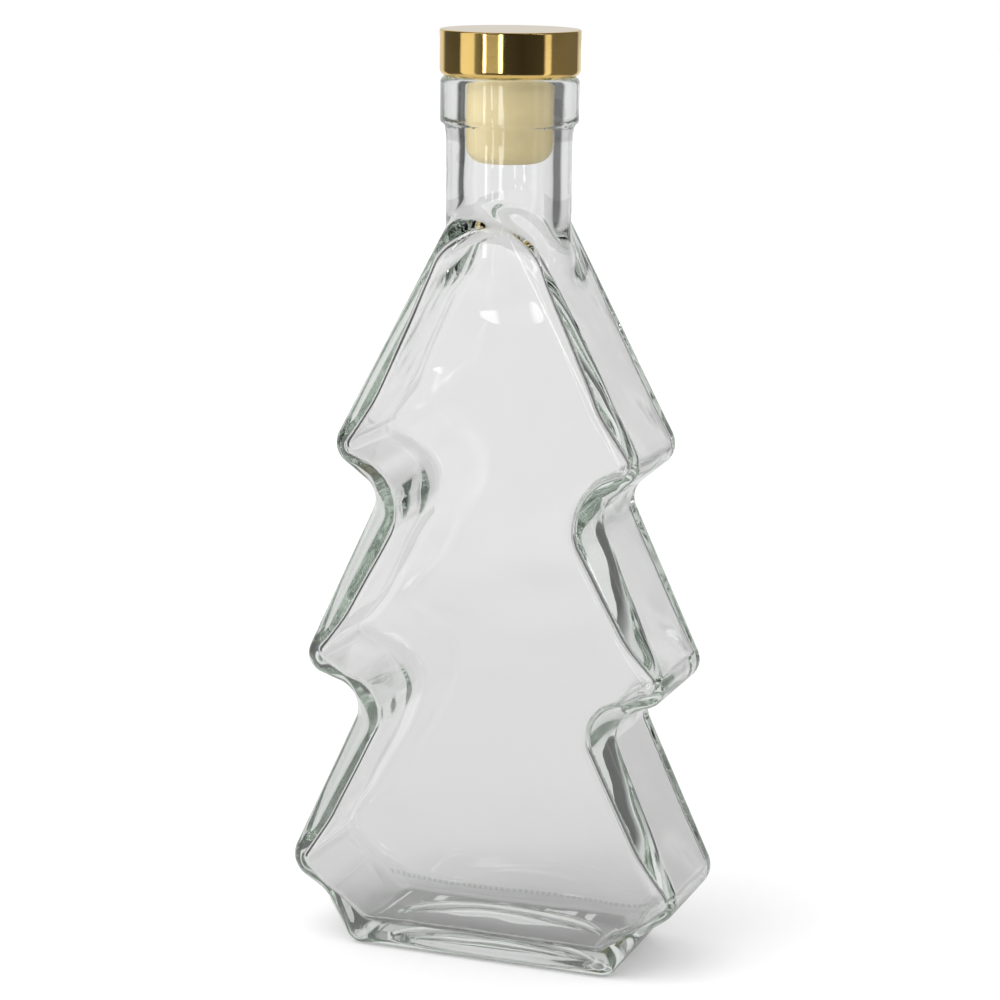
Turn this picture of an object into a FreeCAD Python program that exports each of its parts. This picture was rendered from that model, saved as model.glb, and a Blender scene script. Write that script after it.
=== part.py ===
import FreeCAD, Part
import math
import os
import Sketcher

# A clear glass bottle in the shape of a fir tree with three tiers of branches, closed by a
# plastic plug under a metal cap. Millimetres, +Z up, front towards -Y, origin at the centre
# of the base. Every driving size is here once, and reaches the model through the sheet.
SIZES = {
    # tree outline, seen from the front: the sharp corners before rounding, and their radii
    "base_half_width": 29.2,
    "heel_corner_radius": 3.5,
    "low_waist_x": 36.4,
    "low_waist_z": 10.0,
    "low_waist_radius": 7.9,
    "low_tip_x": 44.6,
    "low_tip_z": 16.5,
    "low_tip_radius": 5.6,
    "mid_waist_x": 27.2,
    "mid_waist_z": 55.0,
    "mid_waist_radius": 5.4,
    "mid_tip_x": 41.3,
    "mid_tip_z": 61.4,
    "mid_tip_radius": 4.6,
    "top_waist_x": 23.9,
    "top_waist_z": 99.5,
    "top_waist_radius": 4.8,
    "top_tip_x": 34.6,
    "top_tip_z": 108.7,
    "top_tip_radius": 5.1,
    "crown_z": 173.8,
    "crown_radius": 11.3,
    # depth of the tree, and the rounding of its front and back rims
    "body_depth": 31.5,
    "rim_heel": 3.0,
    "rim_tip": 3.9,
    "rim_waist": 5.5,
    "rim_crown": 4.6,
    # glass between the outline's corners and the hollow's: across, and up at each corner
    "foot_glass": 2.2,
    "low_waist_glass": 3.4,
    "low_waist_lift": 0.6,
    "low_tip_glass": 3.2,
    "low_tip_lift": 0.6,
    "mid_waist_glass": 6.5,
    "mid_waist_lift": 0.5,
    "mid_tip_glass": 3.0,
    "mid_tip_lift": 1.8,
    "top_waist_glass": 8.3,
    "top_waist_lift": 1.8,
    "top_tip_glass": 2.9,
    "top_tip_lift": 0.0,
    "crown_glass": 2.3,
    # the hollow's own rounding: its sides bend at a knee above each tip, where glass thickens
    "low_waist_fill": 1.2,
    "mid_waist_fill": 2.6,
    "top_waist_fill": 6.2,
    "hollow_tip_radius": 2.2,
    "knee_inset": 10.0,
    "knee_rise": 11.2,
    "knee_radius": 40.0,
    "hollow_crown_radius": 12.3,
    "hollow_rim": 1.6,
    "hollow_rim_heel": 2.8,
    "floor_glass": 5.0,
    "panel_glass": 2.4,
    # push-up under the base, and the dome that it raises in the floor
    "pushup_half_width": 23.0,
    "pushup_half_depth": 10.0,
    "pushup_rise": 2.8,
    "foot_round": 0.8,
    "dome_half_width": 27.0,
    "dome_half_depth": 12.6,
    "dome_rise": 7.4,
    # bore, neck and finish ring; heights are taken from the crown, widths from the bore
    "bore_radius": 9.25,
    "bore_foot_drop": 25.8,
    "bore_root_round": 2.0,
    "mouth_flare": 0.7,
    "neck_wall": 3.75,
    "neck_foot_drop": 33.8,
    "neck_root_round": 2.0,
    "collar_flare": 0.4,
    "collar_height": 3.0,
    "ring_overhang": 1.3,
    "ring_height": 9.6,
    "ring_round": 0.8,
    "lip_rise": 12.6,
    "lip_round": 1.2,
    # stopper: plug and cap
    "plug_clearance": 0.3,
    "plug_reach": 17.6,
    "plug_round": 3.8,
    "cap_overhang": 0.2,
    "cap_height": 9.5,
    "cap_foot_round": 1.5,
    "cap_top_round": 0.35,
    "socket_depth": 5.0,
    "socket_clearance": 0.1,
}


TIERS = ("low", "mid", "top")

# sums of sizes that several pieces share
LIP = ("crown_z", "lip_rise")
NECK_RADIUS = ("bore_radius", "neck_wall")
RING_RADIUS = (*NECK_RADIUS, "ring_overhang")
PLUG_RADIUS = ("bore_radius", "-plug_clearance")

FLAT = 1e-6  # an edge whose depth is under this lies in a plane parallel to the front
NEAR = 0.01  # how far a computed seam may stray from its cylinder or its plane


def make_sheet(doc):
    sheet = doc.addObject("Spreadsheet::Sheet", "Sizes")
    for row, (name, number) in enumerate(SIZES.items(), start=1):
        sheet.set(f"A{row}", name)
        sheet.set(f"B{row}", str(number))
        sheet.setAlias(f"B{row}", name)
    doc.recompute()
    return sheet


def total(sheet, terms):
    """Sum of named sizes; a name that starts with a minus sign is taken away."""
    return sum(-sheet.get(term[1:]) if term[0] == "-" else sheet.get(term) for term in terms)


def formula(terms):
    """The same sum as an expression on the sheet."""
    words = [f"- Sizes.{term[1:]}" if term[0] == "-" else f"+ Sizes.{term}" for term in terms]
    return " ".join(words).removeprefix("+ ")


def origin_item(body, role):
    return next(item for item in body.Origin.OriginFeatures if item.Role == role)


def new_sketch(body, name):
    """A sketch on the body's own XZ plane: sketch x is +X, sketch y is +Z."""
    sketch = body.newObject("Sketcher::SketchObject", name)
    sketch.AttachmentSupport = [(origin_item(body, "XZ_Plane"), "")]
    sketch.MapMode = "FlatFace"
    return sketch


def corner_arc(before, corner, after, radius):
    """Centre, start and end of the arc that rounds a corner."""
    back = (before - corner).normalize()
    ahead = (after - corner).normalize()
    half_angle = back.getAngle(ahead) / 2
    reach = radius / math.tan(half_angle)
    middle = (back + ahead).normalize()
    centre = corner + middle * (radius / math.sin(half_angle))
    return centre, corner + back * reach, corner + ahead * reach


def add_outline(sheet, sketch, corners):
    """Draw a closed outline of straight sides with rounded corners.

    Each corner is (x terms, z terms, radius terms, mirrored): radius None leaves it sharp,
    and a mirrored corner is held as the mirror image of the one as far from the other end.
    """
    count = len(corners)
    places = []
    for x_terms, z_terms, _, mirrored in corners:
        side = -1 if mirrored else 1
        places.append(FreeCAD.Vector(side * total(sheet, x_terms), total(sheet, z_terms), 0))
    rounds = []
    for i, (_, _, radius, _) in enumerate(corners):
        if radius is None:
            rounds.append((None, places[i], places[i]))
        else:
            size = total(sheet, radius)
            rounds.append(corner_arc(places[i - 1], places[i], places[(i + 1) % count], size))

    points = list(sketch.addGeometry([Part.Point(place) for place in places], True))
    lines = [Part.LineSegment(rounds[i][2], rounds[(i + 1) % count][1]) for i in range(count)]
    sides = list(sketch.addGeometry(lines, False))
    links = []
    bound = []

    def hold(kind, first, first_end, second, second_end, number, terms):
        links.append(Sketcher.Constraint(kind, first, first_end, second, second_end, number))
        bound.append((len(links) - 1, terms))

    for i, (x_terms, z_terms, radius, mirrored) in enumerate(corners):
        before = sides[i - 1]
        after = sides[i]
        if radius is None:
            links.append(Sketcher.Constraint("Coincident", before, 2, after, 1))
            links.append(Sketcher.Constraint("Coincident", points[i], 1, after, 1))
        else:
            centre, start, end = rounds[i]
            size = total(sheet, radius)
            left_turn = (start - centre).cross(end - centre).z > 0
            ends = (start, end) if left_turn else (end, start)
            angles = [math.atan2((p - centre).y, (p - centre).x) for p in ends]
            circle = Part.Circle(centre, FreeCAD.Vector(0, 0, 1), size)
            arc = sketch.addGeometry(Part.ArcOfCircle(circle, *angles), False)
            first, last = (1, 2) if left_turn else (2, 1)
            links.append(Sketcher.Constraint("Tangent", before, 2, arc, first))
            links.append(Sketcher.Constraint("Tangent", arc, last, after, 1))
            links.append(Sketcher.Constraint("PointOnObject", points[i], 1, before))
            links.append(Sketcher.Constraint("PointOnObject", points[i], 1, after))
            links.append(Sketcher.Constraint("Radius", arc, size))
            bound.append((len(links) - 1, radius))
        if mirrored:
            twin = points[count - 1 - i]
            links.append(Sketcher.Constraint("Symmetric", twin, 1, points[i], 1, -2))
            continue
        if x_terms:
            hold("DistanceX", -1, 1, points[i], 1, places[i].x, x_terms)
        else:
            links.append(Sketcher.Constraint("PointOnObject", points[i], 1, -2))
        if z_terms:
            hold("DistanceY", -1, 1, points[i], 1, places[i].y, z_terms)
        else:
            links.append(Sketcher.Constraint("PointOnObject", points[i], 1, -1))
    sketch.addConstraint(links)
    for index, terms in bound:
        sketch.setExpression(f"Constraints[{index}]", formula(terms))


def mirrored_outline(half, crown):
    """Corners from the right foot over the crown to the left foot."""
    right = [(x, z, radius, False) for x, z, radius in half]
    left = [(x, z, radius, True) for x, z, radius in reversed(half)]
    return right + [(*crown, False)] + left


def tree_corners():
    """Right half of the outside, from the foot up: a waist and a tip for each tier."""
    half = [(("base_half_width",), (), ("heel_corner_radius",))]
    for tier in TIERS:
        for corner in (f"{tier}_waist", f"{tier}_tip"):
            half.append(((f"{corner}_x",), (f"{corner}_z",), (f"{corner}_radius",)))
    return mirrored_outline(half, ((), ("crown_z",), ("crown_radius",)))


def hollow_corners():
    """The same outline drawn in by the glass, with a knee in the side above each tip."""
    foot = ("base_half_width", "-foot_glass")
    half = [(foot, ("floor_glass",), ("heel_corner_radius",))]
    for tier in TIERS:
        waist, tip = f"{tier}_waist", f"{tier}_tip"
        waist_radius = (f"{waist}_radius", f"{waist}_fill")
        knee_x = (f"{tip}_x", "-knee_inset")
        knee_z = (f"{tip}_z", "knee_rise")
        half.append(((f"{waist}_x", f"-{waist}_glass"), (f"{waist}_z", f"{waist}_lift"), waist_radius))
        half.append(((f"{tip}_x", f"-{tip}_glass"), (f"{tip}_z", f"{tip}_lift"), ("hollow_tip_radius",)))
        half.append((knee_x, knee_z, ("knee_radius",)))
    crown = ((), ("crown_z", "-crown_glass"), ("hollow_crown_radius",))
    return mirrored_outline(half, crown)


def pad_outline(doc, sheet, name, corners):
    """A slab of the outline, centred on the XZ plane, with its depth still to be bound."""
    body = doc.addObject("PartDesign::Body", name)
    sketch = new_sketch(body, f"{name}Outline")
    add_outline(sheet, sketch, corners)
    pad = body.newObject("PartDesign::Pad", f"{name}Pad")
    pad.Profile = sketch
    pad.SideType = "Symmetric"
    return body, pad


def round_rims(doc, sheet, name, body, corners, rims):
    """Round the front and back rims, with a radius that follows the nearest corner."""
    places = []
    for i, (x_terms, z_terms, _, mirrored) in enumerate(corners):
        side = -1 if mirrored else 1
        rim = rims[min(i, len(corners) - 1 - i)]
        places.append((side * total(sheet, x_terms), total(sheet, z_terms), sheet.get(rim)))

    def radius_at(point):
        return min(places, key=lambda p: math.hypot(p[0] - point.x, p[1] - point.z))[2]

    rounded = []
    for index, edge in numbered_edges(body):
        if edge.BoundBox.YLength < FLAT:
            start = edge.Vertexes[0].Point
            end = edge.Vertexes[-1].Point
            rounded.append((index, radius_at(start), radius_at(end)))
    fillet = doc.addObject("Part::Fillet", name)
    fillet.Base = body
    fillet.Edges = rounded
    doc.recompute()
    return fillet


def make_tree(doc, sheet):
    """Outside of the tree: a padded outline with rounded rims."""
    corners = tree_corners()
    body, pad = pad_outline(doc, sheet, "TreeBlank", corners)
    pad.setExpression("Length", "Sizes.body_depth")
    doc.recompute()
    rims = ["rim_heel"] + ["rim_waist", "rim_tip"] * len(TIERS) + ["rim_crown"]
    return round_rims(doc, sheet, "TreeForm", body, corners, rims)


def make_hollow(doc, sheet):
    """Room inside the tree, with the push-up's dome taken out of its floor."""
    corners = hollow_corners()
    body, pad = pad_outline(doc, sheet, "HollowBlank", corners)
    pad.setExpression("Length", "Sizes.body_depth - 2 * Sizes.panel_glass")
    doc.recompute()
    rims = ["hollow_rim_heel"] + ["hollow_rim"] * (len(corners) // 2)
    hollow = round_rims(doc, sheet, "HollowForm", body, corners, rims)
    dome = make_ellipsoid(doc, "FloorDome", "dome")
    return join(doc, "Part::Cut", "Hollow", hollow, dome)


def make_ellipsoid(doc, name, prefix):
    """An ellipsoid centred on the origin, upright."""
    solid = doc.addObject("Part::Ellipsoid", name)
    solid.setExpression("Radius1", f"Sizes.{prefix}_rise")
    solid.setExpression("Radius2", f"Sizes.{prefix}_half_width")
    solid.setExpression("Radius3", f"Sizes.{prefix}_half_depth")
    return solid


def join(doc, kind, name, base, tool):
    """A two-shape boolean: Part::Cut or Part::Fuse."""
    result = doc.addObject(kind, name)
    result.Base = base
    result.Tool = tool
    doc.recompute()
    return result


def numbered_edges(item):
    """Edges with the numbers that a fillet knows them by."""
    return enumerate(item.Shape.Edges, start=1)


def round_edges(doc, sheet, name, base, edges, size_name):
    """Fillet the numbered edges, all by one size."""
    size = sheet.get(size_name)
    fillet = doc.addObject("Part::Fillet", name)
    fillet.Base = base
    fillet.Edges = [(index, size, size) for index in edges]
    doc.recompute()
    return fillet


def is_seam(edge, radius):
    """Whether an edge runs round a cylinder on the Z axis, rising and falling as it goes."""
    box = edge.BoundBox
    if min(box.ZLength, box.YLength) < NEAR:
        return False
    return all(abs(math.hypot(p.x, p.y) - radius) < NEAR for p in edge.discretize(5))


def turn_profile(doc, sheet, name, profile):
    """A turned body: the profile's corners are (x terms, z terms, radius terms)."""
    body = doc.addObject("PartDesign::Body", name)
    sketch = new_sketch(body, f"{name}Profile")
    add_outline(sheet, sketch, [(*corner, False) for corner in profile])
    turned = body.newObject("PartDesign::Revolution", f"{name}Turned")
    turned.Profile = sketch
    turned.ReferenceAxis = (sketch, ["V_Axis"])
    turned.Angle = 360
    doc.recompute()
    return body


def make_neck(doc, sheet):
    """Neck, its collar and the finish ring at the mouth."""
    foot = ("crown_z", "-neck_foot_drop")
    ring_bottom = (*LIP, "-ring_height")
    profile = [
        ((), foot, None),
        (NECK_RADIUS, foot, None),
        (NECK_RADIUS, (*ring_bottom, "-collar_height"), None),
        ((*NECK_RADIUS, "collar_flare"), ring_bottom, None),
        (RING_RADIUS, ring_bottom, ("ring_round",)),
        (RING_RADIUS, LIP, ("lip_round",)),
        ((), LIP, None),
    ]
    return turn_profile(doc, sheet, "NeckForm", profile)


def make_bore(doc, sheet):
    """Bore of the neck, flared at the mouth."""
    foot = ("crown_z", "-bore_foot_drop")
    flared = ("bore_radius", "mouth_flare")
    profile = [
        ((), foot, None),
        (("bore_radius",), foot, None),
        (("bore_radius",), (*LIP, "-mouth_flare"), None),
        (flared, LIP, None),
        (flared, (*LIP, "mouth_flare"), None),
        ((), (*LIP, "mouth_flare"), None),
    ]
    return turn_profile(doc, sheet, "BoreForm", profile)


def make_outside(doc, sheet):
    """Tree and neck in one, with a soft seam where the neck grows out of the shoulders."""
    sharp = join(doc, "Part::Fuse", "OutsideSharp", make_tree(doc, sheet), make_neck(doc, sheet))
    radius = total(sheet, NECK_RADIUS)
    seam = [i for i, edge in numbered_edges(sharp) if is_seam(edge, radius)]
    return round_edges(doc, sheet, "Outside", sharp, seam, "neck_root_round")


def make_inside(doc, sheet):
    """Room inside the tree and bore in one, with a soft seam between them."""
    sharp = join(doc, "Part::Fuse", "InsideSharp", make_hollow(doc, sheet), make_bore(doc, sheet))
    radius = sheet.get("bore_radius")
    seam = [i for i, edge in numbered_edges(sharp) if is_seam(edge, radius)]
    return round_edges(doc, sheet, "Inside", sharp, seam, "bore_root_round")


def make_bottle(doc, sheet):
    """The glass: hollowed out, standing on a softened foot round its push-up."""
    glass = join(doc, "Part::Cut", "Glass", make_outside(doc, sheet), make_inside(doc, sheet))
    pushup = make_ellipsoid(doc, "PushUp", "pushup")
    sharp = join(doc, "Part::Cut", "BottleSharp", glass, pushup)
    reach = sheet.get("pushup_half_width") + NEAR
    foot = []
    for i, edge in numbered_edges(sharp):
        box = edge.BoundBox
        if box.ZMax < NEAR and max(box.XMax, -box.XMin) < reach:
            foot.append(i)
    return round_edges(doc, sheet, "Bottle", sharp, foot, "foot_round")


def make_plug(doc, sheet):
    """Plastic plug: hangs in the bore and stands up into the cap's socket."""
    profile = [
        ((), (*LIP, "-plug_reach"), None),
        (PLUG_RADIUS, (*LIP, "-plug_reach"), ("plug_round",)),
        (PLUG_RADIUS, (*LIP, "socket_depth"), None),
        ((), (*LIP, "socket_depth"), None),
    ]
    return turn_profile(doc, sheet, "Plug", profile)


def make_cap(doc, sheet):
    """Metal cap: rests on the ring, with a blind socket for the plug."""
    socket_radius = (*PLUG_RADIUS, "socket_clearance")
    cap_radius = (*RING_RADIUS, "cap_overhang")
    profile = [
        ((), (*LIP, "socket_depth"), None),
        (socket_radius, (*LIP, "socket_depth"), None),
        (socket_radius, LIP, None),
        (cap_radius, LIP, ("cap_foot_round",)),
        (cap_radius, (*LIP, "cap_height"), ("cap_top_round",)),
        ((), (*LIP, "cap_height"), None),
    ]
    return turn_profile(doc, sheet, "Cap", profile)


def check_and_write(doc, pieces):
    """Stop on any failed object or bad shape, then write each piece to its own file."""
    for item in doc.Objects:
        if "Invalid" in item.State or "Error" in item.State:
            raise RuntimeError(f"{item.Name} failed: {item.State}")
    for label, piece in pieces.items():
        shape = piece.Shape
        if shape.isNull() or not shape.isValid() or len(shape.Solids) != 1:
            raise RuntimeError(f"{label} is not one valid solid")
    os.makedirs("parts", exist_ok=True)
    for label, piece in pieces.items():
        piece.Label = label
        piece.Shape.exportStep(f"parts/{label}.step")
        print(label, "volume", round(piece.Shape.Volume, 1))


def main():
    doc = FreeCAD.newDocument("TreeBottle")
    sheet = make_sheet(doc)
    pieces = {
        "bottle": make_bottle(doc, sheet),
        "stopper_plug": make_plug(doc, sheet),
        "stopper_cap": make_cap(doc, sheet),
    }
    doc.recompute()
    check_and_write(doc, pieces)


main()
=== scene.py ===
"""A tree-shaped clear glass bottle with a gold-capped stopper, on a white studio floor.

The glass is one dense mesh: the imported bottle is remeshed, and each point is then moved onto
an exact surface built from distance functions, which also give its normals. The studio is a
white floor and a world whose light goes by compass angle, with no lamps.
"""

import math

import bmesh
import bpy
import numpy as np
from mathutils import Matrix, Vector


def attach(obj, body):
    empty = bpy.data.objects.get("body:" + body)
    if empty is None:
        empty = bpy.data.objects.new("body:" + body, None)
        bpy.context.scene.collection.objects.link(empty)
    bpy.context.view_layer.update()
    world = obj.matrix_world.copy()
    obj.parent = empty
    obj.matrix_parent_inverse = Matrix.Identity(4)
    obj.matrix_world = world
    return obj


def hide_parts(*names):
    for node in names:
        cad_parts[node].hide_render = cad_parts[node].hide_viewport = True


MM = 0.001  # the frame is in metres

# ---------------------------------------------------------------- sizes, in millimetres
# Tree outline, right half from the foot up: the sharp corner (x, z) and its rounding.
FOOT = (29.2, 0.0, 3.5)
LOW_WAIST = (36.4, 10.0, 7.9)
LOW_TIP = (44.6, 16.5, 5.6)
MID_WAIST = (27.2, 55.0, 5.4)
MID_TIP = (41.3, 61.4, 4.6)
TOP_WAIST = (23.9, 99.5, 4.8)
TOP_TIP = (34.6, 108.7, 5.1)
CROWN = (0.0, 173.8, 11.3)
HALF_OUTLINE = (FOOT, LOW_WAIST, LOW_TIP, MID_WAIST, MID_TIP, TOP_WAIST, TOP_TIP)

# Depth, front to back, and the rounding of the front and back rims along the outline
BODY_DEPTH = 31.5
RIM_HEEL, RIM_TIP, RIM_WAIST, RIM_CROWN = 3.0, 3.9, 5.5, 4.6

# The hollow inside: (x, z) and rounding of each corner, with a knee above each tip
FLOOR_GLASS, PANEL_GLASS = 5.0, 2.4
FOOT_IN = (FOOT[0] - 2.2, FLOOR_GLASS, FOOT[2])
LOW_WAIST_IN = (LOW_WAIST[0] - 3.4, LOW_WAIST[1] + 0.6, LOW_WAIST[2] + 1.2)
MID_WAIST_IN = (MID_WAIST[0] - 6.5, MID_WAIST[1] + 0.5, MID_WAIST[2] + 2.6)
TOP_WAIST_IN = (TOP_WAIST[0] - 8.3, TOP_WAIST[1] + 1.8, TOP_WAIST[2] + 6.2)
TIP_IN_RADIUS = 2.2
LOW_TIP_IN = (LOW_TIP[0] - 3.2, LOW_TIP[1] + 0.6, TIP_IN_RADIUS)
MID_TIP_IN = (MID_TIP[0] - 3.0, MID_TIP[1] + 1.8, TIP_IN_RADIUS)
TOP_TIP_IN = (TOP_TIP[0] - 2.9, TOP_TIP[1], TIP_IN_RADIUS)
KNEE_INSET, KNEE_RISE, KNEE_RADIUS = 10.0, 11.2, 40.0
CROWN_IN = (0.0, CROWN[1] - 2.3, 12.3)
HOLLOW_RIM, HOLLOW_RIM_HEEL = 1.6, 2.8

# Push-up under the base and the dome that it raises in the floor: half sizes x, y, z
PUSH_UP = (23.0, 10.0, 2.8)
FLOOR_DOME = (27.0, 12.6, 5.8)
PUSH_UP_BLEND, FLOOR_DOME_BLEND = 1.0, 1.5

# Neck, ring and bore
NECK_RADIUS, NECK_FOOT_Z, NECK_ROOT_BLEND = 13.0, 140.0, 2.5
COLLAR_RADIUS, COLLAR_DROP = 13.4, 3.0
RING_RADIUS, RING_ROUND, RING_BOTTOM_Z = 14.3, 0.6, 176.8
LIP_Z, LIP_ROUND = 186.4, 1.2
BORE_RADIUS, BORE_FOOT_Z, BORE_BLEND, MOUTH_FLARE = 9.25, 148.0, 9.0, 0.7
BORE_TOP_Z = LIP_Z + 20.0  # the bore's shape goes on past the lip

SMALL_ROUND = 0.3  # rounding of the edges that need no size of their own

# Unevenness of the inside: its height, and the number and lengths of the waves that make it
RIPPLE_HEIGHT, RIPPLE_WAVES, RIPPLE_SEED = 0.07, 9, 5
RIPPLE_LENGTHS = (9.0, 30.0)


# ---------------------------------------------------------------- distance functions
TINY = 1e-9  # keeps divisions away from nought


class Outline:
    """A closed outline in a plane, of straight sides and rounded corners.

    Corners are (u, v, radius, rim), anticlockwise. The rim is a size carried along the
    outline: it changes evenly along each side and holds round each corner.
    """

    def __init__(self, corners):
        places = [np.array(corner[:2], float) for corner in corners]
        count = len(corners)
        self.arcs = []
        ends = []
        for i, (_, _, radius, rim) in enumerate(corners):
            back = places[i - 1] - places[i]
            ahead = places[(i + 1) % count] - places[i]
            back /= np.linalg.norm(back)
            ahead /= np.linalg.norm(ahead)
            half_angle = math.acos(back @ ahead) / 2
            middle = (back + ahead) / np.linalg.norm(back + ahead)
            reach = radius / math.tan(half_angle)
            centre = places[i] + middle * radius / math.sin(half_angle)
            side = 1.0 if ahead[0] * back[1] - ahead[1] * back[0] > 0 else -1.0
            self.arcs.append((centre, radius, -middle, math.sin(half_angle), side, rim))
            ends.append((places[i] + back * reach, places[i] + ahead * reach))
        self.sides = []
        for i in range(count):
            start, end = ends[i][1], ends[(i + 1) % count][0]
            self.sides.append((start, end - start, corners[i][3], corners[(i + 1) % count][3]))

    def measure(self, u, v):
        """Signed distance, negative inside, and the rim at the nearest point."""
        nearest = np.full(u.shape, np.inf)
        signed = np.zeros(u.shape)
        rim = np.zeros(u.shape)

        def keep(distance, value, rim_value):
            closer = distance < nearest
            nearest[closer] = distance[closer]
            signed[closer] = value[closer]
            rim[closer] = np.broadcast_to(rim_value, u.shape)[closer]

        for start, along, first_rim, last_rim in self.sides:
            du, dv = u - start[0], v - start[1]
            t = np.clip((du * along[0] + dv * along[1]) / (along @ along), 0, 1)
            distance = np.hypot(du - t * along[0], dv - t * along[1])
            inside = along[0] * dv - along[1] * du > 0
            value = np.where(inside, -distance, distance)
            keep(distance, value, first_rim + (last_rim - first_rim) * t)
        for centre, radius, middle, reach, side, corner_rim in self.arcs:
            du, dv = u - centre[0], v - centre[1]
            length = np.maximum(np.hypot(du, dv), TINY)
            gap = length - radius
            in_sector = (du * middle[0] + dv * middle[1]) / length >= reach
            distance = np.where(in_sector, np.abs(gap), np.inf)
            keep(distance, side * gap, corner_rim)
        return signed, rim


def slab(outline, half_depth, p):
    """Distance to an outline given a depth, with rounded front and back rims."""
    distance, rim = outline.measure(p[:, 0], p[:, 2])
    across = distance + rim
    deep = np.abs(p[:, 1]) - half_depth + rim
    outside = np.hypot(np.maximum(across, 0), np.maximum(deep, 0))
    return outside + np.minimum(np.maximum(across, deep), 0) - rim


def turned(outline, p):
    """Distance to an outline spun about the Z axis."""
    return outline.measure(np.hypot(p[:, 0], p[:, 1]), p[:, 2])[0]


def ellipsoid(half_sizes, p):
    """Distance, near its surface, to an ellipsoid round the origin."""
    sizes = np.array(half_sizes)
    share = np.linalg.norm(p / sizes, axis=1)
    steep = np.maximum(np.linalg.norm(p / sizes**2, axis=1), TINY)
    return share * (share - 1) / steep


def blend_join(a, b, width):
    """Union of two solids with a rounded seam."""
    overlap = np.maximum(width - np.abs(a - b), 0) / width
    return np.minimum(a, b) - overlap**2 * width / 4


def blend_meet(a, b, width):
    """What two solids share, with a rounded edge."""
    return -blend_join(-a, -b, width)


def tree_outline(half, crown):
    """Both halves of an outline, from the corners of its right half and its crown."""
    left = [(-x, z, radius, rim) for x, z, radius, rim in reversed(half)]
    return Outline([*half, crown, *left])


def outer_outline():
    rims = (RIM_HEEL, *(RIM_WAIST, RIM_TIP) * 3)
    half = [(*corner, rim) for corner, rim in zip(HALF_OUTLINE, rims)]
    return tree_outline(half, (*CROWN, RIM_CROWN))


def hollow_outline():
    """The hollow's outline: above each tip its side bends at a knee."""
    half = [(*FOOT_IN, HOLLOW_RIM_HEEL)]
    tiers = (
        (LOW_WAIST_IN, LOW_TIP_IN, LOW_TIP),
        (MID_WAIST_IN, MID_TIP_IN, MID_TIP),
        (TOP_WAIST_IN, TOP_TIP_IN, TOP_TIP),
    )
    for waist, tip, outer_tip in tiers:
        knee = (outer_tip[0] - KNEE_INSET, outer_tip[1] + KNEE_RISE, KNEE_RADIUS)
        half.extend((*corner, HOLLOW_RIM) for corner in (waist, tip, knee))
    return tree_outline(half, (*CROWN_IN, HOLLOW_RIM))


def spun_outline(profile):
    """An outline to spin about the Z axis, from (radius, z, rounding) up its outer side."""
    past_axis = -60.0
    low = (past_axis, profile[0][1], SMALL_ROUND)
    high = (past_axis, profile[-1][1], SMALL_ROUND)
    return Outline([(*corner, 0) for corner in (low, *profile, high)])


TREE = outer_outline()
HOLLOW = hollow_outline()
NECK = spun_outline(
    (
        (NECK_RADIUS, NECK_FOOT_Z, SMALL_ROUND),
        (NECK_RADIUS, RING_BOTTOM_Z - COLLAR_DROP, COLLAR_DROP),
        (COLLAR_RADIUS, RING_BOTTOM_Z, SMALL_ROUND),
        (RING_RADIUS, RING_BOTTOM_Z, RING_ROUND),
        (RING_RADIUS, LIP_Z, LIP_ROUND),
    )
)
BORE = spun_outline(
    (
        (BORE_RADIUS, BORE_FOOT_Z, SMALL_ROUND),
        (BORE_RADIUS, LIP_Z - MOUTH_FLARE, MOUTH_FLARE),
        (BORE_RADIUS + 2 * MOUTH_FLARE, LIP_Z + MOUTH_FLARE, SMALL_ROUND),
        (BORE_RADIUS + 2 * MOUTH_FLARE, BORE_TOP_Z, SMALL_ROUND),
    )
)


def ripple(p):
    """Smooth unevenness of blown glass: a sum of long waves in seeded directions."""
    rng = np.random.default_rng(RIPPLE_SEED)
    total = np.zeros(len(p))
    for _ in range(RIPPLE_WAVES):
        direction = rng.normal(size=3)
        direction /= np.linalg.norm(direction)
        wave = 2 * math.pi / rng.uniform(*RIPPLE_LENGTHS)
        total += np.sin(p @ direction * wave + rng.uniform(0, 2 * math.pi))
    return total * RIPPLE_HEIGHT / math.sqrt(RIPPLE_WAVES)


def glass_distance(p):
    """Distance to the whole glass, in millimetres."""
    outside = blend_join(slab(TREE, BODY_DEPTH / 2, p), turned(NECK, p), NECK_ROOT_BLEND)
    inside = slab(HOLLOW, BODY_DEPTH / 2 - PANEL_GLASS, p)
    inside = blend_meet(inside, -ellipsoid(FLOOR_DOME, p), FLOOR_DOME_BLEND)
    inside = blend_join(inside, turned(BORE, p), BORE_BLEND)
    inside = inside + ripple(p)
    glass = blend_meet(outside, -inside, SMALL_ROUND)
    return blend_meet(glass, -ellipsoid(PUSH_UP, p), PUSH_UP_BLEND)


SLOPE_STEP = 0.02  # half the distance over which a slope is measured
SETTLE_ROUNDS, LONGEST_MOVE = 5, 0.6  # how points reach the surface, and their longest step
FLATTEST = 0.25  # a slope squared below this counts as this


def gradient(field, p):
    """Slope of a field at each point, along the three axes."""
    slopes = []
    for axis in range(3):
        shift = np.zeros(3)
        shift[axis] = SLOPE_STEP
        slopes.append((field(p + shift) - field(p - shift)) / (2 * SLOPE_STEP))
    return np.stack(slopes, axis=1)


def settle(field, p):
    """Move points onto the surface where the field is nought; give their normals too."""
    for _ in range(SETTLE_ROUNDS):
        slope = gradient(field, p)
        steep = np.maximum((slope**2).sum(axis=1), FLATTEST)
        move = (field(p) / steep)[:, None] * slope
        far = np.linalg.norm(move, axis=1, keepdims=True)
        p = p - move * np.minimum(1, LONGEST_MOVE / np.maximum(far, TINY))
    slope = gradient(field, p)
    return p, slope / np.linalg.norm(slope, axis=1, keepdims=True)


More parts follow.
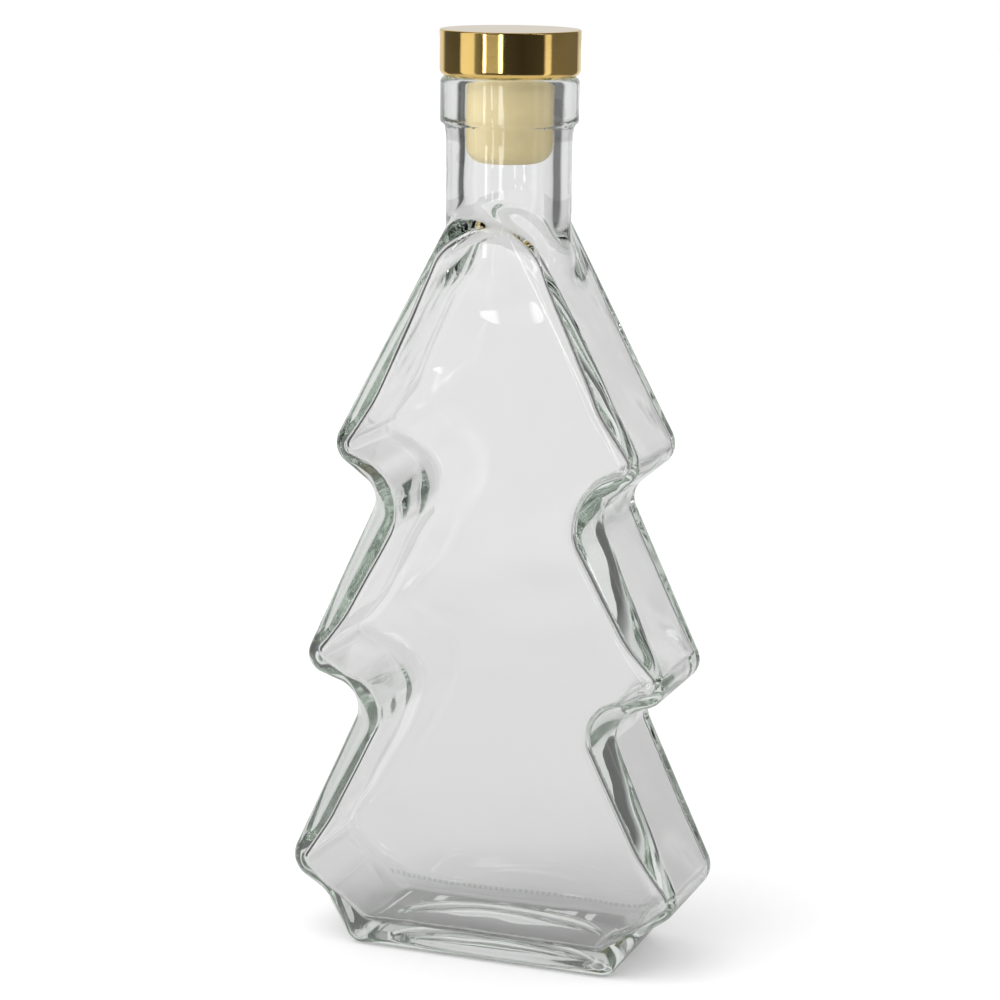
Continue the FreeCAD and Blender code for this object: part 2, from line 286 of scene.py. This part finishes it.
# ---------------------------------------------------------------- the glass
VOXEL, WELD_GAP = 1.15 * MM, 0.005 * MM
TURN_LIMIT = math.radians(9)  # an edge along which the surface turns further is cut in half


def refine(mesh, normals):
    """Cut the faces on which the surface turns, so that small rims come out smooth."""
    work = bmesh.new()
    work.from_mesh(mesh)
    work.edges.ensure_lookup_table()
    ends = np.array([[v.index for v in edge.verts] for edge in work.edges])
    turn = (normals[ends[:, 0]] * normals[ends[:, 1]]).sum(axis=1)
    sharp = turn < math.cos(TURN_LIMIT)
    turning = [edge for edge, cut in zip(work.edges, sharp) if cut]
    faces = {face for edge in turning for face in edge.link_faces}
    edges = list({edge for face in faces for edge in face.edges})
    bmesh.ops.subdivide_edges(work, edges=edges, cuts=1, use_grid_fill=True)
    work.to_mesh(mesh)
    work.free()


def settle_mesh(mesh):
    """Move a mesh's points onto the exact surface, and give their normals."""
    points = np.empty(len(mesh.vertices) * 3)
    mesh.vertices.foreach_get("co", points)
    points, normals = settle(glass_distance, points.reshape(-1, 3) / MM)
    mesh.vertices.foreach_set("co", (points * MM).ravel())
    mesh.update()
    return normals


def make_glass(cad_bottle):
    """The bottle as one dense mesh on the exact surface."""
    mesh = cad_bottle.data.copy()
    piece = bpy.data.objects.new("bottle_glass", mesh)
    bpy.context.scene.collection.objects.link(piece)
    weld = piece.modifiers.new("weld", "WELD")
    weld.merge_threshold = WELD_GAP
    remesh = piece.modifiers.new("remesh", "REMESH")
    remesh.mode = "VOXEL"
    remesh.voxel_size = VOXEL
    graph = bpy.context.evaluated_depsgraph_get()
    dense = bpy.data.meshes.new_from_object(piece.evaluated_get(graph))
    piece.modifiers.clear()
    piece.data = dense
    refine(dense, settle_mesh(dense))
    normals = settle_mesh(dense)
    dense.polygons.foreach_set("use_smooth", np.ones(len(dense.polygons), bool))
    dense.normals_split_custom_set_from_vertices(normals.tolist())
    return piece


# ---------------------------------------------------------------- materials
class Nodes:
    """A shorthand for building a node tree."""

    def __init__(self, tree):
        self.tree = tree
        tree.nodes.clear()

    def add(self, kind, inputs=None, **settings):
        """A new node, with its inputs given as values or as the sockets that feed them."""
        node = self.tree.nodes.new(kind)
        for name, value in settings.items():
            setattr(node, name, value)
        for name, value in (inputs or {}).items():
            if isinstance(value, bpy.types.NodeSocket):
                self.tree.links.new(value, node.inputs[name])
            else:
                node.inputs[name].default_value = value
        return node

    def maths(self, operation, first, second):
        """The result of a sum on two numbers, each a value or a socket."""
        node = self.add("ShaderNodeMath", {0: first, 1: second}, operation=operation)
        return node.outputs[0]


def new_material(name):
    """A material and the shorthand for its nodes."""
    material = bpy.data.materials.new(name)
    material.use_nodes = True
    return material, Nodes(material.node_tree)


# Sockets of the mix node when it mixes colours: its inputs, then its result
MIX_SHARE, MIX_FIRST, MIX_SECOND, MIX_RESULT = 0, 6, 7, 2


def mix_colours(n, share, first, second, blend="MIX"):
    """The first colour at share 0 and the second at 1, or the second added to the first."""
    inputs = {MIX_SHARE: share, MIX_FIRST: first, MIX_SECOND: second}
    mix = n.add("ShaderNodeMix", inputs, data_type="RGBA", blend_type=blend, clamp_factor=True)
    return mix.outputs[MIX_RESULT]


def grey(light):
    return (light, light, light, 1)


WHITE = grey(1)

STIPPLE_PITCH, STIPPLE_HEIGHT = 1.35 * MM, 0.1 * MM
STIPPLE_BOTTOM, STIPPLE_TOP = 5.3 * MM, 6.3 * MM
STIPPLE_BACK = 14.5 * MM  # the row is on the back face, further back than this
# The dots' darker colour is painted shade, standing in for the shadow where they touch the
# floor
STIPPLE_PAINTED_SHADE = (0.6, 0.66, 0.62, 1)
GRAIN_SCALE, GRAIN_DEPTH, GRAIN_STRENGTH = 900.0, 0.02 * MM, 0.02
GLASS_IOR, TINT, TINT_DENSITY = 1.5, (0.5, 0.72, 0.52, 1), 4.5


def stipple(n):
    """One row of small dots low down on the back, each rising to 1 in its middle."""
    where = n.add("ShaderNodeTexCoord")
    place = n.add("ShaderNodeSeparateXYZ", {"Vector": where.outputs["Object"]}).outputs
    half_pitch = STIPPLE_PITCH / 2
    wave = n.maths("PINGPONG", place["X"], half_pitch)
    height = n.maths("MULTIPLY", wave, 1 / half_pitch)
    limits = (
        ("Y", "GREATER_THAN", STIPPLE_BACK),
        ("Z", "GREATER_THAN", STIPPLE_BOTTOM),
        ("Z", "LESS_THAN", STIPPLE_TOP),
    )
    for axis, test, limit in limits:
        height = n.maths("MULTIPLY", height, n.maths(test, place[axis], limit))
    return height


def bump_noise(n, scale, depth, strength, detail):
    """Fine noise and the bump it makes: its scale per metre, and its depth in metres."""
    where = n.add("ShaderNodeTexCoord")
    noise = n.add(
        "ShaderNodeTexNoise",
        {"Vector": where.outputs["Object"], "Scale": scale, "Detail": detail},
    )
    bump = n.add(
        "ShaderNodeBump",
        {"Height": noise.outputs["Fac"], "Strength": strength, "Distance": depth},
    )
    return noise.outputs["Fac"], bump.outputs["Normal"]


def glass_material():
    """Clear glass, faintly green where it is thick, with the row of dots on its back, darkened
    by painted shade.
    """
    material, n = new_material("bottle_glass")
    _, grain = bump_noise(n, GRAIN_SCALE, GRAIN_DEPTH, GRAIN_STRENGTH, detail=2.0)
    dots = stipple(n)
    dotted = n.add(
        "ShaderNodeBump", {"Height": dots, "Distance": STIPPLE_HEIGHT, "Normal": grain}
    )
    shader = n.add(
        "ShaderNodeBsdfPrincipled",
        {
            # painted shade: the glass colour darkens on the dots
            "Base Color": mix_colours(n, dots, WHITE, STIPPLE_PAINTED_SHADE),
            "Normal": dotted.outputs["Normal"],
            "Transmission Weight": 1.0,
            "IOR": GLASS_IOR,
            "Roughness": 0.0,
        },
    )
    tint = n.add("ShaderNodeVolumeAbsorption", {"Density": TINT_DENSITY, "Color": TINT})
    n.add("ShaderNodeOutputMaterial", {"Surface": shader.outputs[0], "Volume": tint.outputs[0]})
    return material


GOLD, GOLD_ROUGHNESS = (0.88, 0.61, 0.21, 1), (0.03, 0.10)
CREAM_DARK, CREAM_LIGHT, CREAM_ROUGHNESS = (0.95, 0.77, 0.39, 1), (1.0, 0.87, 0.52, 1), 0.42


def gold_material():
    """Polished gold plating, with a shine that varies a little from place to place."""
    material, n = new_material("cap_gold")
    noise, bump = bump_noise(n, 420.0, 0.03 * MM, strength=0.25, detail=4.0)
    low, high = GOLD_ROUGHNESS
    rough = n.add("ShaderNodeMapRange", {"Value": noise, "To Min": low, "To Max": high})
    shader = n.add(
        "ShaderNodeBsdfPrincipled",
        {
            "Base Color": GOLD,
            "Metallic": 1.0,
            "Roughness": rough.outputs["Result"],
            "Normal": bump,
        },
    )
    n.add("ShaderNodeOutputMaterial", {"Surface": shader.outputs[0]})
    return material


def plug_material():
    """Moulded cream plastic, slightly mottled."""
    material, n = new_material("plug_plastic")
    noise, bump = bump_noise(n, 600.0, 0.05 * MM, strength=0.3, detail=4.0)
    cream = mix_colours(n, noise, CREAM_DARK, CREAM_LIGHT)
    shader = n.add(
        "ShaderNodeBsdfPrincipled",
        {"Base Color": cream, "Roughness": CREAM_ROUGHNESS, "Normal": bump},
    )
    n.add("ShaderNodeOutputMaterial", {"Surface": shader.outputs[0]})
    return material


def set_material(item, material):
    item.data.materials.clear()
    item.data.materials.append(material)


# ---------------------------------------------------------------- studio
# Camera: its place round the Z axis, and how it is aimed from there
CAMERA_AZIMUTH = math.radians(20.18)
CAMERA_DISTANCE, CAMERA_HEIGHT = 618.9 * MM, 231.6 * MM
CAMERA_TURN = math.radians(0.11)  # away from the Z axis
CAMERA_PITCH = math.radians(12.22)  # downward
CAMERA_ROLL = math.radians(0.58)
CAMERA_LENS, SENSOR_WIDTH = 108.1, 36.0  # Blender's own millimetres
CAMERA_CLIP = 0.01

# The room round the bottle, by compass angle: 0 is towards the camera and positive is to the
# camera's right. Each stop is (angle in degrees, light). This is the room for mirrored rays.
ROOM = (
    (-180, 0.72),
    (-142, 0.66),
    (-131, 0.10),
    (-90, 0.08),
    (-86, 0.85),
    (-62, 0.80),
    (-58, 0.20),
    (-44, 0.10),
    (-17, 0.08),
    (-12, 0.05),
    (20, 0.03),
    (56, 0.05),
    (60, 0.85),
    (68, 0.85),
    (71, 0.16),
    (138, 0.14),
    (150, 0.66),
    (180, 0.72),
)
# The window, bright along its two sides, added to the room low down and far off
WINDOW = (
    (-180, 0.0),
    (-44.5, 0.0),
    (-44, 5.0),
    (-40, 5.0),
    (-39.5, 0.35),
    (-18.5, 0.35),
    (-18, 5.0),
    (-13, 5.0),
    (-12.5, 0.0),
    (180, 0.0),
)
# The same room for rays that only pass through the glass
BEHIND = (
    (-180, 0.73),
    (-131, 0.70),
    (-126, 0.04),
    (-118, 0.04),
    (-112, 0.70),
    (60, 0.76),
    (80, 0.40),
    (114, 0.20),
    (120, 0.05),
    (132, 0.05),
    (142, 0.64),
    (180, 0.73),
)
# The light that falls on matt surfaces
SOFT = (
    (-180, 0.95),
    (-110, 0.95),
    (-90, 2.3),
    (-40, 2.3),
    (-20, 0.95),
    (180, 0.95),
)


def turn_ramp(n, turn, stops):
    """Light by compass angle, from stops of (degrees, light)."""
    ramp = n.add("ShaderNodeValToRGB", {"Fac": turn})
    points = ramp.color_ramp.elements
    for k, (angle, light) in enumerate(stops):
        place = angle / 360 + 0.5
        point = points[k] if k < 2 else points.new(place)
        point.position = place
        point.color = grey(light)
    return ramp.outputs["Color"]


def compass_share(n, direction):
    """Compass angle of a direction or place, as 0 to 1, with a half towards the camera."""
    level = n.add(
        "ShaderNodeVectorRotate",
        {"Vector": direction, "Angle": -CAMERA_AZIMUTH},
        rotation_type="Z_AXIS",
    )
    parts = n.add("ShaderNodeSeparateXYZ", {"Vector": level.outputs[0]})
    front = n.maths("MULTIPLY", parts.outputs["Y"], -1.0)
    turn = n.maths("ARCTAN2", parts.outputs["X"], front)
    return n.maths("ADD", n.maths("MULTIPLY", turn, 1 / (2 * math.pi)), 0.5)


def room_light(n, direction, window_share):
    """What a ray meets in the room: one set of walls when it was mirrored on the way, a
    lighter one when it only passed through, and soft light for matt surfaces."""
    turn = compass_share(n, direction)
    path = n.add("ShaderNodeLightPath").outputs
    room, window = turn_ramp(n, turn, ROOM), turn_ramp(n, turn, WINDOW)
    mirrored = mix_colours(n, window_share, room, window, blend="ADD")
    walls = mix_colours(n, path["Glossy Depth"], turn_ramp(n, turn, BEHIND), mirrored)
    return mix_colours(n, path["Diffuse Depth"], walls, turn_ramp(n, turn, SOFT))


def white_for_camera(n, colour):
    """Plain white where the camera looks straight at it, and a colour for all other rays."""
    path = n.add("ShaderNodeLightPath")
    return mix_colours(n, path.outputs["Is Camera Ray"], colour, WHITE)


# Where the white sheet on the floor starts and ends giving way to the room's light painted on
# the floor, in metres from the bottle, and the painted shade of the sheet as seen through glass
SHEET_RADIUS, SHEET_EDGE, SHEET_SHADE = 0.22, 0.40, 0.60
WINDOW_START = 1.35  # how far off the window starts on the floor, in metres
WINDOW_TOP = 0.2  # how high it reaches: the upward part of a ray's direction
FLOOR_HALF_SIZE = 3.0


def make_world():
    """The room by compass angle, and plain white behind for the camera."""
    world = bpy.data.worlds.new("studio")
    bpy.context.scene.world = world
    world.use_nodes = True
    # Aimed sampling would lose count of a path's matt bounces, which choose the light here
    world.cycles.sampling_method = "NONE"
    n = Nodes(world.node_tree)
    direction = n.add("ShaderNodeTexCoord").outputs["Generated"]
    parts = n.add("ShaderNodeSeparateXYZ", {"Vector": direction})
    low = n.maths("LESS_THAN", parts.outputs["Z"], WINDOW_TOP)
    light = white_for_camera(n, room_light(n, direction, low))
    shine = n.add("ShaderNodeBackground", {"Color": light, "Strength": 1.0})
    n.add("ShaderNodeOutputWorld", {"Surface": shine.outputs[0]})


def make_floor():
    """A white floor for the camera; for mirrored or bent rays its colour is painted: painted
    shade near the bottle, and the room's light and window painted on it further out.
    """
    mesh = bpy.data.meshes.new("floor")
    size = FLOOR_HALF_SIZE
    corners = [(-size, -size, 0), (size, -size, 0), (size, size, 0), (-size, size, 0)]
    mesh.from_pydata(corners, [], [(0, 1, 2, 3)])
    floor = bpy.data.objects.new("floor", mesh)
    bpy.context.scene.collection.objects.link(floor)
    material, n = new_material("floor_white")
    place = n.add("ShaderNodeTexCoord").outputs["Object"]
    away = n.add("ShaderNodeVectorMath", {0: place}, operation="LENGTH").outputs["Value"]
    room = room_light(n, place, n.maths("GREATER_THAN", away, WINDOW_START))
    beyond = n.add(
        "ShaderNodeMapRange",
        {"Value": away, "From Min": SHEET_RADIUS, "From Max": SHEET_EDGE},
    )
    # Painted shade near the bottle and painted room and window light further out, in the
    # floor's colour for all but camera rays
    painted_shade_and_light = mix_colours(n, beyond.outputs["Result"], grey(SHEET_SHADE), room)
    shader = n.add("ShaderNodeBsdfDiffuse", {"Color": white_for_camera(n, painted_shade_and_light)})
    n.add("ShaderNodeOutputMaterial", {"Surface": shader.outputs[0]})
    set_material(floor, material)


def make_camera():
    data = bpy.data.cameras.new("camera")
    data.lens = CAMERA_LENS
    data.sensor_width = SENSOR_WIDTH
    data.clip_start = CAMERA_CLIP
    camera = bpy.data.objects.new("camera", data)
    bpy.context.scene.collection.objects.link(camera)
    side, front = math.sin(CAMERA_AZIMUTH), math.cos(CAMERA_AZIMUTH)
    place = Vector((CAMERA_DISTANCE * side, -CAMERA_DISTANCE * front, CAMERA_HEIGHT))
    turn = Matrix.Rotation(CAMERA_AZIMUTH + CAMERA_TURN, 4, "Z")
    tilt = Matrix.Rotation(math.pi / 2 - CAMERA_PITCH, 4, "X")
    roll = Matrix.Rotation(CAMERA_ROLL, 4, "Z")
    camera.matrix_world = Matrix.Translation(place) @ turn @ tilt @ roll
    bpy.context.scene.camera = camera


LIGHT_BOUNCES = 40  # light in thick glass is mirrored many times before it leaves


def set_light_paths():
    for kind in ("max_bounces", "glossy_bounces", "transmission_bounces"):
        setattr(bpy.context.scene.cycles, kind, LIGHT_BOUNCES)


# ---------------------------------------------------------------- the scene
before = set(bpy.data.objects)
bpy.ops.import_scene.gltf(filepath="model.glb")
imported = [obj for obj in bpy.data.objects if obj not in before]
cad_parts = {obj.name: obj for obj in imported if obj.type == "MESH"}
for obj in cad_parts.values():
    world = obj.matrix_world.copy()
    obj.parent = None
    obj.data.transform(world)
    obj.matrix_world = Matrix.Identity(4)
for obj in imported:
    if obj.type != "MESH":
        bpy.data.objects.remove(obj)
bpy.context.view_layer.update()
bpy.context.scene.view_settings.view_transform = "Standard"

glass = make_glass(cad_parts["bottle"])
set_material(glass, glass_material())
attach(glass, "root")
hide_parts("bottle")
set_material(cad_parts["stopper_plug"], plug_material())
set_material(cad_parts["stopper_cap"], gold_material())
set_light_paths()
make_world()
make_floor()
make_camera()
